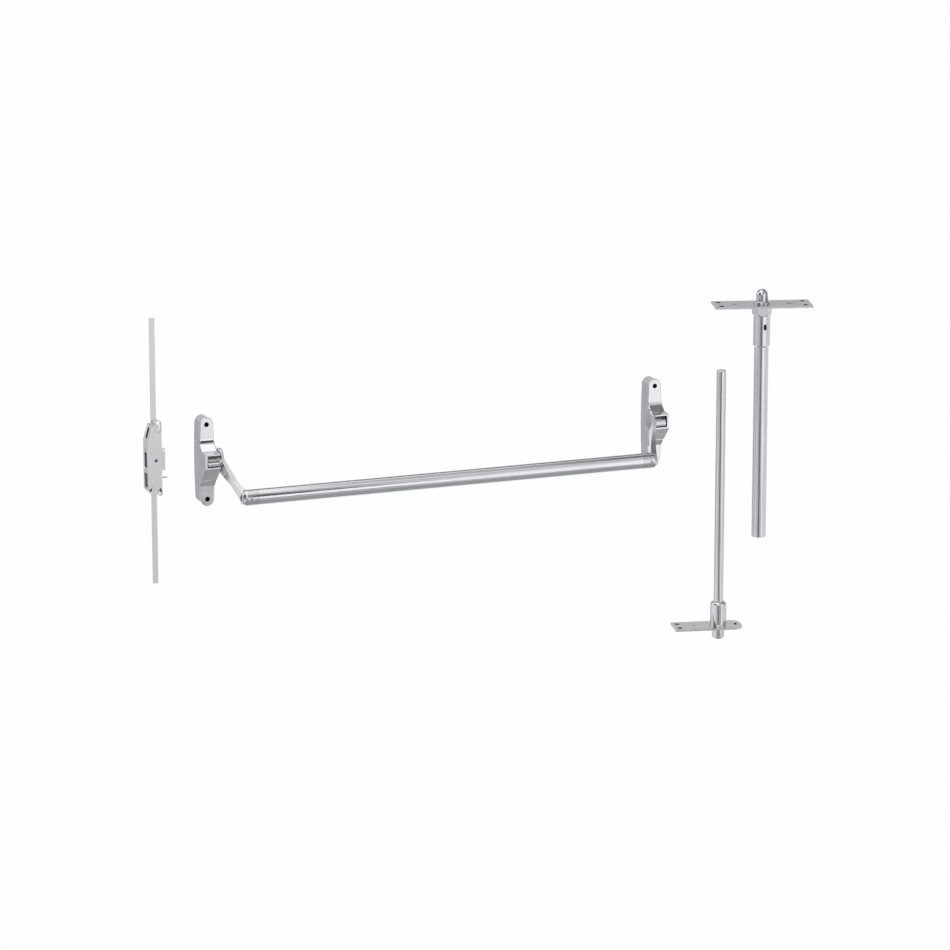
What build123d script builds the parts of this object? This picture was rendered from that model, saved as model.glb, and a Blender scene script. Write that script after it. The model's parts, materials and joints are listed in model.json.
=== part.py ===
from build123d import *
import math
import os

# Vertical rod exit device, laid out as a kit of four groups that share one upright frame.
# Millimetres. +X runs along the crossbar, -Y points into the room, +Z is up.
# The origin is on the door face, midway between the two screw holes of the left end case.

os.makedirs("parts", exist_ok=True)

# Clearances
running_fit = 0.05
free_gap = 0.3
seat_gap = 0.1

# End cases: tall rounded castings that carry the lever arms
case_span = 812.0
case_screw_spacing = 127.0
case_half_width = 12.0
case_bow = 1.5
lug_depth = 28.0
case_screw_radius = 2.75
case_sink_radius = 4.2
crest_depth = 60.0
lip_thickness = 2.0
mouth_top = 17.0
mouth_bottom = -3.0
jaw_up = -5.5
shoulder_depth = 42.0
shoulder_up = 21.0
brow_up = 39.5
cove_radius = 14.0
cove_turn = 45.0
chin_depth = 37.0
chin_up = -29.0
chin_groove = 1.8
chin_groove_depth = 1.4
chin_foot = -41.0
case_edge_radius = 1.6
cheek_wall = 2.5
back_cavity_half_width = 8.5
back_cavity_half_height = 42.0
back_cavity_depth = 23.0
cam_cavity_web = 3.0
cam_cavity_top = 12.0
cam_cavity_bottom = -17.0
back_plate_half_width = 9.8
back_plate_half_height = 46.0
back_plate_thickness = 3.0

# Pivot of the lever arms, inside the crest of each case
hub_behind_crest = 12.0
pivot_up = 2.5
hub_radius = 10.5
hub_pocket_radius = 12.0
pin_radius = 4.0
pin_thread_radius = 3.0
pin_head_radius = 6.2
pin_head_height = 2.4
pin_socket_radius = 3.0
bush_wall = 1.5
spring_pocket_radius = 9.0
spring_pocket_depth = 6.5

# Lever arms: a flat head beside the case, a blade that leans inwards and a round elbow
arm_reach = 60.0
arm_drop = 49.3
arm_face = 14.2
arm_head_thickness = 5.0
arm_head_radius = 17.0
arm_head_back = 3.0
arm_head_up = 7.0
arm_waist_radius = 5.8
arm_waist_share = 0.6
arm_tip_radius = 10.0
arm_bend_start = 9.0
arm_edge_radius = 2.6
elbow_start = 32.0
elbow_end = 60.0
elbow_dome = 9.0
blade_end_thickness = 10.0
cam_back = 12.0
cam_down = 14.0
cam_nose_radius = 3.0
cam_start = 2.0
cam_end = 8.0

# Crossbar
bar_radius = 13.5
bar_wall = 1.5
plug_radius = 10.0
plug_socket_depth = 20.0
plug_in_bar = 26.0
grub_radius = 2.5
grub_length = 3.2
grub_across = 46.0

# Plunger behind the right end case
plunger_up = 1.5
plunger_radius = 5.5
plunger_head_width = 16.0
plunger_head_top = 10.0
plunger_head_bottom = -15.5
plunger_head_thickness = 3.0
plunger_start_gap = 0.5
plunger_proud = 8.0
plunger_tip_radius = 4.5
plunger_chamfer = 0.8
guide_boss_radius = 10.0
guide_boss_length = 9.0

# Concealed lock case with its two flat rods
lock_place = (-83.5, 0.0, 6.0)
lock_left = -14.0
lock_right = 10.0
lock_bottom = -57.5
lock_top = 46.5
lock_neck_top = 59.0
lock_slant_start = 33.0
lock_corner_radius = 9.0
lock_half_depth = 13.0
lock_sheet = 1.2
lock_hub_bore = 2.1
lock_journal_radius = 3.4
lock_crank = 6.0
lock_crank_pin = 1.4
lock_half_swing = 48.0
lock_hub_half_thickness = 2.5
lock_hub_lobe = 2.4
slide_gap = 0.3
slide_thickness = 3.0
slide_foot_inner = 3.9
slide_foot_outer = 8.5
slide_bar_start = 14.0
slide_bar_end = 46.0
slide_fork_wall = 2.4
rod_width = 9.0
rod_thickness = 3.0
rod_across = -0.2
rod_inner_end = 20.0
upper_rod_end = 238.5
lower_rod_end = -213.0
rivet_radius = 1.5
rivet_head_radius = 2.6
rivet_head_height = 1.0
rivet_places = (27.0, 40.0)
face_screw_spacing = 34.5
face_screw_radius = 2.0
post_radius = 1.5
cover_screw_radius = 1.0
cover_head_radius = 2.2
cover_head_height = 1.2
face_slot_width = 13.0
face_slot_height = 26.0
low_slot_width = 16.0
low_slot_height = 25.0
low_slot_up = -34.3
slant_slot_width = 10.0
slant_slot_height = 19.0
slant_slot_up = 45.5
slot_corner = 3.0
eye_wall = 1.4
eye_proud = 0.8
upper_eye_across = 4.4
upper_eye_width = 11.2
upper_eye_top = 68.4
upper_eye_strip = 7.0
lower_eye_across = 6.5
lower_eye_width = 7.4
lower_eye_top = -46.0
lower_eye_bottom = -60.2
lower_eye_strip = 4.0
curl_place = (-5.4, -46.6)
curl_length = 9.6
curl_width = 5.2
curl_wall = 1.1
curl_turn = 75.0
foot_hole_place = (-9.8, -49.2)
foot_hole_length = 6.0
foot_hole_width = 3.8
foot_hole_turn = 40.0
tab_reach = 9.6
tab_top = 17.2
tab_bottom = -20.2
tab_half_seat = 5.0
tab_hole_radius = 1.5
tab_hole_inset = 2.2
tab_hole_drop = 4.0
thumb_pin_radius = 1.1
thumb_pin_up = -32.3
thumb_pin_end = 22.7

# Top bolt set
top_turn = -16.0
top_from_case = 215.0
top_up = 187.0
plate_thickness = 3.2
top_plate_length = 172.0
top_plate_width = 60.0
top_plate_corner = 2.5
top_screw_inset = 12.0
plate_screw_radius = 2.6
plate_sink_radius = 4.4
top_slot_inset = 38.0
top_slot_lengths = (8.0, 13.0)
plate_slot_width = 4.6
top_bolt_radius = 10.45
top_bolt_rise = 26.0
top_bolt_nose = 6.5
top_bolt_shoulder = -32.0
top_neck_radius = 8.4
rim_radius = 13.9
rim_height = 5.0
bushing_radius = 12.3
bushing_end = -30.0
locknut_flats = 30.5
locknut_top = -3.6
locknut_bottom = -20.3
sleeve_radius = 14.9
sleeve_end = -75.5
sleeve_taper = 1.2
sleeve_web_top = -58.0
sleeve_web_thickness = 3.0
sight_hole_up = -39.5
sight_hole_width = 6.0
sight_hole_height = 10.5
sight_hole_turn = 16.0
tube_radius = 12.7
tube_wall = 2.0
tube_end = -417.0
tube_plug_length = 22.0
tube_plug_step = 0.3
top_pin_radius = 2.0
top_pin_up = -67.0

# Bottom bolt set
bottom_turn = -13.0
bottom_from_case = 139.0
bottom_up = -384.0
bottom_plate_left = -81.0
bottom_plate_right = 41.0
bottom_plate_width = 52.0
bottom_plate_corner = 16.0
bottom_screw_inset = 10.0
bottom_screw_edge = 13.0
bottom_mark_inset = 38.0
bottom_mark_radius = 1.8
bottom_slot_inset = 10.0
bottom_slot_length = 11.0
cup_radius = 14.6
cup_height = 43.0
cup_dome = 5.0
cup_wall = 2.35
cup_roof = 7.0
peep_radius = 1.6
peep_up = 5.0
bottom_bolt_radius = 10.9
bottom_bolt_collar = 14.0
bottom_bolt_tip = -24.0
bottom_bolt_nose = 2.5
bottom_rod_radius = 8.5
bottom_rod_end = 459.0
bottom_spigot_radius = 6.0
bottom_spigot_length = 15.0
bottom_pin_radius = 1.5
bottom_pin_up = 50.0

# Springs are wound from round wire, drawn here with a four-sided section
hub_spring_wire = 0.6
hub_spring_turns = 3.0
plunger_spring_wire = 0.7
plunger_spring_turns = 5.0
lock_spring_wire = 0.45
lock_spring_turns = 3.0
top_spring_wire = 0.85
top_spring_turns = 5.0
bottom_spring_wire = 0.85
bottom_spring_turns = 4.5
wire_sides = 4

# Values that follow from the ones above
case_reach = case_half_width + case_bow
pivot_depth = crest_depth - hub_behind_crest
cam_cavity_depth = pivot_depth - cam_cavity_web
case_half_height = case_screw_spacing / 2 + case_half_width
hub_start = -(case_half_width - cheek_wall) + 1.6
arm_back = arm_face + arm_head_thickness
arm_length = math.hypot(arm_reach, arm_drop)
bar_depth = pivot_depth + arm_reach
bar_up = pivot_up - arm_drop
bush_radius = pin_radius + running_fit + bush_wall
bush_end = arm_back - pin_head_height - 2 * free_gap

rod_slot_width = rod_width + 2 * free_gap
rod_slot_depth = 2 * (lock_hub_half_thickness + slide_gap + free_gap)
lock_neck_left = rod_across - rod_slot_width / 2 - lock_sheet
lock_neck_right = rod_across + rod_slot_width / 2 + lock_sheet
top_screw_across = top_plate_length / 2 - top_screw_inset
top_screw_deep = top_plate_width / 2 - top_screw_inset
top_slot_across = top_plate_length / 2 - top_slot_inset
bottom_screw_across = bottom_plate_left + bottom_screw_inset
bottom_screw_deep = bottom_plate_width / 2 - bottom_screw_edge
bottom_mark_across = bottom_plate_left + bottom_mark_inset
bottom_slot_across = bottom_plate_right - bottom_slot_inset
top_place = (case_span + top_from_case, 0.0, top_up)
bottom_place = (case_span + bottom_from_case, 0.0, bottom_up)

home = Plane.XY
lock_frame = Plane(origin=lock_place)
top_way = (math.cos(math.radians(top_turn)), math.sin(math.radians(top_turn)), 0)
bottom_way = (math.cos(math.radians(bottom_turn)), math.sin(math.radians(bottom_turn)), 0)
top_frame = Plane(origin=top_place, x_dir=top_way)
bottom_frame = Plane(origin=bottom_place, x_dir=bottom_way)


def facing(frame, depth=0.0):
    """Upright plane that faces the room, depth millimetres behind the frame's origin."""
    start = frame.origin + frame.y_dir * depth
    return Plane(origin=start, x_dir=frame.x_dir, z_dir=-frame.y_dir)


def across(frame, distance):
    """Upright plane square to the crossbar: its first axis is the depth and its second is up."""
    start = frame.origin + frame.x_dir * distance
    return Plane(origin=start, x_dir=frame.y_dir, z_dir=frame.x_dir)


def keep(builder, label):
    """Labels a finished piece and writes it to its own file."""
    builder.part.label = label
    export_step(builder.part, f"parts/{label}.step")
    return builder.part


def coil(start, direction, radius, wire, length, turns):
    """A helical spring: wire is its wire radius, and length runs from end to end of the wire."""
    travel = length - 2 * wire
    middle = Vector(*start) + Vector(*direction) * wire
    with BuildPart() as spring:
        with BuildLine() as path:
            Helix(travel / turns, travel, radius, center=middle, direction=direction)
        with BuildSketch(Plane(origin=path.line @ 0, z_dir=path.line % 0)):
            RegularPolygon(wire, wire_sides)
        sweep(is_frenet=True)
    return spring


def turned_piece(plane, axis, outline):
    """A piece turned on a lathe: outline is the closed half section on the plane."""
    with BuildPart() as piece:
        with BuildSketch(plane):
            with BuildLine():
                Polyline(*outline, close=True)
            make_face()
        revolve(axis=axis)
    return piece


# End cases
def end_case(centre, inner):
    """One casting. centre is its place along the crossbar, inner the direction of the crossbar."""
    lower_front = [
        (-shoulder_depth, shoulder_up),
        (-crest_depth, mouth_top + lip_thickness),
        (-crest_depth, jaw_up),
        (-chin_depth - 1, chin_up),
        (-chin_depth + chin_groove_depth, chin_up),
        (-chin_depth + chin_groove_depth, chin_up - chin_groove),
        (-lug_depth, chin_foot),
        (-lug_depth, -case_half_height),
        (0, -case_half_height),
        (0, case_half_height),
    ]
    reach = crest_depth + 1
    with BuildPart() as case:
        with BuildSketch(across(home, centre - case_reach)):
            with BuildLine():
                lug = Polyline((0, case_half_height), (-lug_depth, case_half_height), (-lug_depth, brow_up))
                cove = JernArc(lug @ 1, (0, -1), cove_radius, -cove_turn)
                Polyline(cove @ 1, *lower_front)
            make_face()
        extrude(amount=2 * case_reach)
        with BuildSketch(facing(home)):
            w = case_half_width
            h = case_screw_spacing / 2
            with BuildLine():
                ThreePointArc((centre + w, h), (centre + case_reach, 0), (centre + w, -h))
                ThreePointArc((centre + w, -h), (centre, -h - w), (centre - w, -h))
                ThreePointArc((centre - w, -h), (centre - case_reach, 0), (centre - w, h))
                ThreePointArc((centre - w, h), (centre, h + w), (centre + w, h))
            make_face()
        extrude(amount=reach, mode=Mode.INTERSECT)
        front = case.edges().filter_by(Axis.X, reverse=True)
        front = front.filter_by(lambda e: e.center().Y < -lug_depth + 0.1)
        fillet(front.filter_by(lambda e: abs(e.center().Z) > chin_depth + 6), case_edge_radius)
        # pocket that lets the arm's hub in from the inner side and shows it from the front
        with BuildSketch(across(home, centre - inner * (case_half_width - cheek_wall))):
            with Locations((-pivot_depth, pivot_up)):
                Circle(hub_pocket_radius)
            with Locations((-pivot_depth, mouth_bottom)):
                Rectangle(reach - pivot_depth, mouth_top - mouth_bottom, align=(Align.MAX, Align.MIN))
        extrude(amount=inner * 2 * case_reach, mode=Mode.SUBTRACT)
        # hollow back, with a rebate for the back plate
        with BuildSketch(facing(home)):
            with Locations((centre, 0)):
                RectangleRounded(2 * back_plate_half_width, 2 * back_plate_half_height, 6)
        extrude(amount=back_plate_thickness, mode=Mode.SUBTRACT)
        with BuildSketch(facing(home)):
            with Locations((centre, 0)):
                RectangleRounded(2 * back_cavity_half_width, 2 * back_cavity_half_height, 5)
        extrude(amount=back_cavity_depth, mode=Mode.SUBTRACT)
        with BuildSketch(facing(home)):
            middle = (cam_cavity_top + cam_cavity_bottom) / 2
            with Locations((centre, middle)):
                Rectangle(2 * back_cavity_half_width, cam_cavity_top - cam_cavity_bottom)
        extrude(amount=cam_cavity_depth, mode=Mode.SUBTRACT)
        # screw holes through both lugs
        with Locations(facing(home, -lug_depth)):
            with GridLocations(1, case_screw_spacing, 1, 2):
                with Locations((centre, 0)):
                    CounterSinkHole(case_screw_radius, case_sink_radius)
        # hole for the pivot pin's thread through the cheek
        with Locations(Plane(origin=(centre, -pivot_depth, pivot_up), z_dir=(1, 0, 0))):
            Hole(pin_thread_radius, depth=2 * case_reach)
    return case


# Lever arms
def lever_arm(centre, inner, with_cam):
    """One casting: hub, head, blade and elbow. The arm of the driving side also has a cam."""
    side = across(home, centre + inner * arm_face)
    pivot = (-pivot_depth, pivot_up)
    head = (-pivot_depth + arm_head_back, pivot_up + arm_head_up)
    waist = (-pivot_depth - arm_waist_share * arm_reach, pivot_up - arm_waist_share * arm_drop)
    tip = (-bar_depth, bar_up)
    along = Plane(
        origin=(centre, -pivot_depth, pivot_up),
        x_dir=(1, 0, 0),
        z_dir=(0, arm_drop / arm_length, -arm_reach / arm_length),
    )
    inside = elbow_start + 1
    plan = [
        (arm_face, -arm_length),
        (arm_back, -arm_length),
        (arm_back, arm_bend_start),
        (inside + blade_end_thickness, arm_length - 4),
        (inside + blade_end_thickness, arm_length + bar_radius),
        (inside, arm_length + bar_radius),
        (inside, arm_length - 2),
        (arm_face, arm_bend_start + 4),
    ]
    with BuildPart() as arm:
        with BuildSketch(side):
            with Locations(head):
                Circle(arm_head_radius)
            with Locations(waist):
                Circle(arm_waist_radius)
            make_hull()
        extrude(amount=inner * elbow_end)
        with BuildSketch(side):
            with Locations(waist):
                Circle(arm_waist_radius)
            with Locations(tip):
                Circle(arm_tip_radius)
            make_hull()
        extrude(amount=inner * elbow_end)
        with BuildSketch(along):
            with BuildLine():
                Polyline(*[(inner * x, s) for x, s in plan], close=True)
            make_face()
        extrude(amount=2 * arm_length, both=True, mode=Mode.INTERSECT)
        rim = arm.edges().filter_by(lambda e: inner * (e.center().X - centre) > arm_back - 0.5)
        rim = rim.filter_by(lambda e: e.center().Z > pivot_up - arm_waist_share * arm_drop)
        rim = rim.filter_by(Axis.Y, reverse=True).filter_by(lambda e: abs((e % 0.5).X) < 0.9)
        fillet(rim.sort_by(lambda e: e.length)[-1:], arm_edge_radius)
        # elbow: a domed round socket that the crossbar's plug enters
        with BuildSketch(facing(home, -bar_depth)):
            with BuildLine():
                start = (centre + inner * elbow_start, bar_up)
                dome_end = (centre + inner * (elbow_start + elbow_dome), bar_up + bar_radius)
                low = (centre + inner * elbow_start, bar_up + bar_radius - elbow_dome)
                end_top = (centre + inner * elbow_end, bar_up + bar_radius)
                end_low = (centre + inner * elbow_end, bar_up)
                Line(start, low)
                RadiusArc(low, dome_end, inner * elbow_dome)
                Polyline(dome_end, end_top, end_low, start)
            make_face()
        revolve(axis=Axis((0, -bar_depth, bar_up), (1, 0, 0)))
        # hub inside the case
        with BuildSketch(across(home, centre + inner * hub_start)):
            with Locations(pivot):
                Circle(hub_radius)
        extrude(amount=inner * (arm_face - hub_start))
        if with_cam:
            with BuildSketch(across(home, centre + inner * cam_start)):
                with Locations(pivot):
                    Circle(cam_nose_radius + 2)
                with Locations((-pivot_depth + cam_back, pivot_up - cam_down)):
                    Circle(cam_nose_radius)
                make_hull()
            extrude(amount=inner * (cam_end - cam_start))
        # bore for the bush, seat for the pin's head, pocket for the return spring
        with BuildSketch(across(home, centre + inner * (hub_start - 1))):
            with Locations(pivot):
                Circle(bush_radius)
        extrude(amount=inner * arm_back * 2, mode=Mode.SUBTRACT)
        with BuildSketch(across(home, centre + inner * (arm_back - pin_head_height - free_gap))):
            with Locations(pivot):
                Circle(pin_head_radius + free_gap)
        extrude(amount=inner * arm_back, mode=Mode.SUBTRACT)
        with BuildSketch(across(home, centre + inner * hub_start)):
            with Locations(pivot):
                Circle(spring_pocket_radius)
        extrude(amount=inner * spring_pocket_depth, mode=Mode.SUBTRACT)
        # socket for the crossbar's plug, and the grub screw's hole in its front
        with BuildSketch(across(home, centre + inner * elbow_end)):
            with Locations(tip):
                Circle(plug_radius + seat_gap)
        extrude(amount=-inner * plug_socket_depth, mode=Mode.SUBTRACT)
        with BuildSketch(facing(home, -bar_depth)):
            with Locations((centre + inner * grub_across, bar_up)):
                Circle(grub_radius)
        extrude(amount=bar_radius + 1, mode=Mode.SUBTRACT)
    return arm


def pivot_pin(centre, inner):
    """Shoulder screw: its head lies in the arm and its thread in the case's cheek."""
    cheek = -(case_half_width - cheek_wall)
    far = -case_reach + 0.4
    head_end = arm_back - free_gap
    outline = [
        (far, 0),
        (far, pin_thread_radius),
        (cheek, pin_thread_radius),
        (cheek, pin_radius),
        (head_end - pin_head_height + free_gap, pin_radius),
        (head_end - pin_head_height + free_gap, pin_head_radius),
        (head_end - 0.5, pin_head_radius),
        (head_end, pin_head_radius - 0.5),
        (head_end, 0),
    ]
    placed = [(centre + inner * x, pivot_up + r) for x, r in outline]
    with BuildPart() as pin:
        with BuildSketch(facing(home, -pivot_depth)):
            with BuildLine():
                Polyline(*placed, close=True)
            make_face()
        revolve(axis=Axis((0, -pivot_depth, pivot_up), (1, 0, 0)))
        with BuildSketch(across(home, centre + inner * head_end)):
            with Locations((-pivot_depth, pivot_up)):
                RegularPolygon(pin_socket_radius, 6)
        extrude(amount=-inner * pin_head_height, mode=Mode.SUBTRACT)
    return pin


def pivot_bush(centre, inner):
    """Plain bearing sleeve pressed into the arm's hub."""
    with BuildPart() as bush:
        with BuildSketch(across(home, centre + inner * hub_start)):
            with Locations((-pivot_depth, pivot_up)):
                Circle(bush_radius)
                Circle(pin_radius + running_fit, mode=Mode.SUBTRACT)
        extrude(amount=inner * (bush_end - hub_start))
    return bush


for side, centre, inner in (("left", 0.0, 1), ("right", case_span, -1)):
    keep(end_case(centre, inner), f"{side}_end_case")
    keep(lever_arm(centre, inner, side == "right"), f"{side}_lever_arm")
    keep(pivot_pin(centre, inner), f"{side}_pivot_pin")
    keep(pivot_bush(centre, inner), f"{side}_pivot_bush")

# Crossbar tube with its end plugs and grub screws
bar_start = elbow_end + seat_gap
with BuildPart() as crossbar_tube:
    with BuildSketch(across(home, bar_start)):
        with Locations((-bar_depth, bar_up)):
            Circle(bar_radius)
            Circle(bar_radius - bar_wall, mode=Mode.SUBTRACT)
    extrude(amount=case_span - 2 * bar_start)
keep(crossbar_tube, "crossbar_tube")

with BuildPart() as bar_end_plugs:
    for end, inner in ((0.0, 1), (case_span, -1)):
        with BuildSketch(across(home, end + inner * (elbow_end - plug_socket_depth + free_gap))):
            with Locations((-bar_depth, bar_up)):
                Circle(plug_radius)
        extrude(amount=inner * (plug_socket_depth - free_gap + seat_gap))
        with BuildSketch(across(home, end + inner * bar_start)):
            with Locations((-bar_depth, bar_up)):
                Circle(bar_radius - bar_wall - seat_gap)
        extrude(amount=inner * plug_in_bar)
keep(bar_end_plugs, "bar_end_plugs")

with BuildPart() as bar_grub_screws:
    for end, inner in ((0.0, 1), (case_span, -1)):
        with BuildSketch(facing(home, -bar_depth - plug_radius - seat_gap)):
            with Locations((end + inner * grub_across, bar_up)):
                Circle(grub_radius - seat_gap)
                RegularPolygon(grub_radius / 2, 6, mode=Mode.SUBTRACT)
        extrude(amount=grub_length)
keep(bar_grub_screws, "bar_grub_screws")

# Back plates: the right one has a boss that guides the plunger
for side, centre in (("left", 0.0), ("right", case_span)):
    with BuildPart() as back_plate:
        with BuildSketch(facing(home)):
            with Locations((centre, 0)):
                width = 2 * (back_plate_half_width - seat_gap)
                height = 2 * (back_plate_half_height - seat_gap)
                RectangleRounded(width, height, 6 - seat_gap)
        extrude(amount=back_plate_thickness)
        if side == "right":
            with BuildSketch(facing(home)):
                with Locations((centre, plunger_up)):
                    Circle(guide_boss_radius - 0.6)
            extrude(amount=-guide_boss_length)
            with BuildSketch(facing(home, guide_boss_length)):
                with Locations((centre, plunger_up)):
                    Circle(plunger_radius + running_fit)
            extrude(amount=guide_boss_length + back_plate_thickness, mode=Mode.SUBTRACT)
    keep(back_plate, f"{side}_back_plate")

# Plunger that the right arm's cam pushes through the door face
nose_depth = pivot_depth - cam_back - cam_nose_radius
head_front = nose_depth - plunger_start_gap
head_back = head_front - plunger_head_thickness
plunger_end = guide_boss_length + plunger_proud
with BuildPart() as drive_plunger:
    with BuildSketch(facing(home, -head_back)):
        with Locations((case_span, (plunger_head_top + plunger_head_bottom) / 2)):
            RectangleRounded(plunger_head_width, plunger_head_top - plunger_head_bottom, 2)
    extrude(amount=plunger_head_thickness)
    with BuildSketch(facing(home, -head_back)):
        with Locations((case_span, plunger_up)):
            Circle(plunger_radius)
    extrude(amount=-(head_back + guide_boss_length + free_gap))
    with BuildSketch(facing(home)):
        with Locations((case_span, plunger_up)):
            Circle(plunger_tip_radius)
    extrude(amount=-plunger_end)
    chamfer(drive_plunger.faces().sort_by(Axis.Y)[-1].edges(), plunger_chamfer)
keep(drive_plunger, "drive_plunger")

plunger_spring = coil(
    (case_span, -back_plate_thickness - free_gap, plunger_up),
    (0, -1, 0),
    plunger_radius + free_gap + plunger_spring_wire + 0.2,
    plunger_spring_wire,
    head_back - back_plate_thickness - 2 * free_gap,
    plunger_spring_turns,
)
keep(plunger_spring, "plunger_spring")

hub_spring = coil(
    (case_span - hub_start - 0.2, -pivot_depth, pivot_up),
    (-1, 0, 0),
    (bush_radius + spring_pocket_radius) / 2,
    hub_spring_wire,
    spring_pocket_depth - 0.5,
    hub_spring_turns,
)
keep(hub_spring, "hub_return_spring")


# Lock case: one folded and pierced sheet, open at the back for its cover
def lock_outline(inset):
    """Outline of the lock case seen from the room, moved inwards by inset."""
    left = lock_left + inset
    right = lock_right - inset
    bottom = lock_bottom + inset
    top = lock_top - inset
    neck_left = lock_neck_left + inset
    neck_right = lock_neck_right - inset
    neck_top = lock_neck_top - inset
    bend = lock_corner_radius - inset
    with BuildLine() as line:
        Polyline((left + bend, bottom), (right, bottom), (right, top), (neck_right, top))
        Polyline((neck_right, top), (neck_right, neck_top), (neck_left, neck_top))
        Polyline((neck_left, neck_top), (left, lock_slant_start), (left, bottom + bend))
        RadiusArc((left, bottom + bend), (left + bend, bottom), -bend)
    return line


def eye_ring(across_place, top, bottom, width, wall):
    """Outline of a strip curled into a long upright ring."""
    with Locations((across_place, (top + bottom) / 2)):
        SlotOverall(top - bottom, width, rotation=90)
        SlotOverall(top - bottom - 2 * wall, width - 2 * wall, rotation=90, mode=Mode.SUBTRACT)


with BuildPart() as lock_case:
    with BuildSketch(facing(lock_frame, lock_half_depth - lock_sheet)):
        add(lock_outline(0).line)
        make_face()
    extrude(amount=2 * lock_half_depth - lock_sheet)
    with BuildSketch(facing(lock_frame, lock_half_depth)):
        add(lock_outline(lock_sheet).line)
        make_face()
    extrude(amount=2 * lock_half_depth - lock_sheet, mode=Mode.SUBTRACT)
    # front wall: hub journal, foot hole, and the window of the lower eye
    with BuildSketch(facing(lock_frame)):
        Circle(lock_journal_radius + running_fit)
        with Locations(foot_hole_place):
            SlotOverall(foot_hole_length, foot_hole_width, rotation=foot_hole_turn)
        with Locations((lower_eye_across, (lower_eye_top + lower_eye_bottom) / 2)):
            SlotOverall(lower_eye_top - lower_eye_bottom, lower_eye_width - eye_wall, rotation=90)
    extrude(amount=lock_half_depth, mode=Mode.SUBTRACT)
    # curled eyes and a small curl that stand proud of the front wall
    with BuildSketch(facing(lock_frame, -lock_half_depth - eye_proud + upper_eye_strip)):
        eye_ring(upper_eye_across, upper_eye_top, lock_top - eye_wall, upper_eye_width, eye_wall)
    extrude(amount=upper_eye_strip)
    with BuildSketch(facing(lock_frame, -lock_half_depth - eye_proud + lower_eye_strip)):
        eye_ring(lower_eye_across, lower_eye_top, lower_eye_bottom, lower_eye_width, eye_wall)
    extrude(amount=lower_eye_strip)
    with BuildSketch(facing(lock_frame, -lock_half_depth)):
        with Locations(curl_place):
            SlotOverall(curl_length, curl_width, rotation=curl_turn)
            SlotOverall(
                curl_length - 2 * curl_wall,
                curl_width - 2 * curl_wall,
                rotation=curl_turn,
                mode=Mode.SUBTRACT,
            )
    extrude(amount=eye_proud)
    # left wall: two screw holes and three windows
    with BuildSketch(across(lock_frame, lock_left - 1)):
        with Locations((0, face_screw_spacing / 2), (0, -face_screw_spacing / 2)):
            Circle(face_screw_radius)
        RectangleRounded(face_slot_width, face_slot_height, slot_corner)
        with Locations((0, low_slot_up)):
            RectangleRounded(low_slot_width, low_slot_height, slot_corner)
        with Locations((0, slant_slot_up)):
            RectangleRounded(slant_slot_width, slant_slot_height, slot_corner)
    extrude(amount=lock_neck_left - lock_left + 2 * lock_sheet, mode=Mode.SUBTRACT)
    # right wall: hole for the thumb pin
    with BuildSketch(across(lock_frame, lock_right - 2 * lock_sheet)):
        with Locations((0, thumb_pin_up)):
            Circle(thumb_pin_radius + seat_gap)
    extrude(amount=4 * lock_sheet, mode=Mode.SUBTRACT)
    # openings that the rods pass through
    with BuildSketch(lock_frame.offset(lock_bottom - 1)):
        with Locations((rod_across, 0)):
            Rectangle(rod_slot_width, rod_slot_depth)
    extrude(amount=3 * lock_sheet, mode=Mode.SUBTRACT)
    with BuildSketch(lock_frame.offset(lock_neck_top + 1)):
        with Locations((rod_across, 0)):
            Rectangle(rod_slot_width, rod_slot_depth)
    extrude(amount=-3 * lock_sheet, mode=Mode.SUBTRACT)
keep(lock_case, "lock_case")

post_places = [(-10.8, 22.0), (-8.9, -53.0), (6.7, 37.0), (6.7, -41.0)]

with BuildPart() as lock_cover:
    with BuildSketch(facing(lock_frame, lock_half_depth)):
        add(lock_outline(0).line)
        make_face()
        Circle(lock_journal_radius + running_fit, mode=Mode.SUBTRACT)
        with Locations(*post_places):
            Circle(cover_screw_radius + seat_gap, mode=Mode.SUBTRACT)
    extrude(amount=lock_sheet)
keep(lock_cover, "lock_cover")

with BuildPart() as case_posts:
    with BuildSketch(facing(lock_frame, lock_half_depth - lock_sheet)):
        with Locations(*post_places):
            Circle(post_radius)
    extrude(amount=2 * (lock_half_depth - lock_sheet))
    with BuildSketch(facing(lock_frame, lock_half_depth - lock_sheet)):
        with Locations(*post_places):
            Circle(cover_screw_radius)
    extrude(amount=6, mode=Mode.SUBTRACT)
keep(case_posts, "case_posts")

with BuildPart() as cover_screws:
    with BuildSketch(facing(lock_frame, lock_half_depth + cover_head_height)):
        with Locations(*post_places):
            Circle(cover_head_radius)
    extrude(amount=cover_head_height)
    with BuildSketch(facing(lock_frame, lock_half_depth)):
        with Locations(*post_places):
            Circle(cover_screw_radius)
    extrude(amount=6)
    with BuildSketch(facing(lock_frame, lock_half_depth + cover_head_height)):
        with Locations(*post_places):
            Rectangle(2 * cover_head_radius, 0.6)
    extrude(amount=0.6, mode=Mode.SUBTRACT)
keep(cover_screws, "cover_screws")

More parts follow.
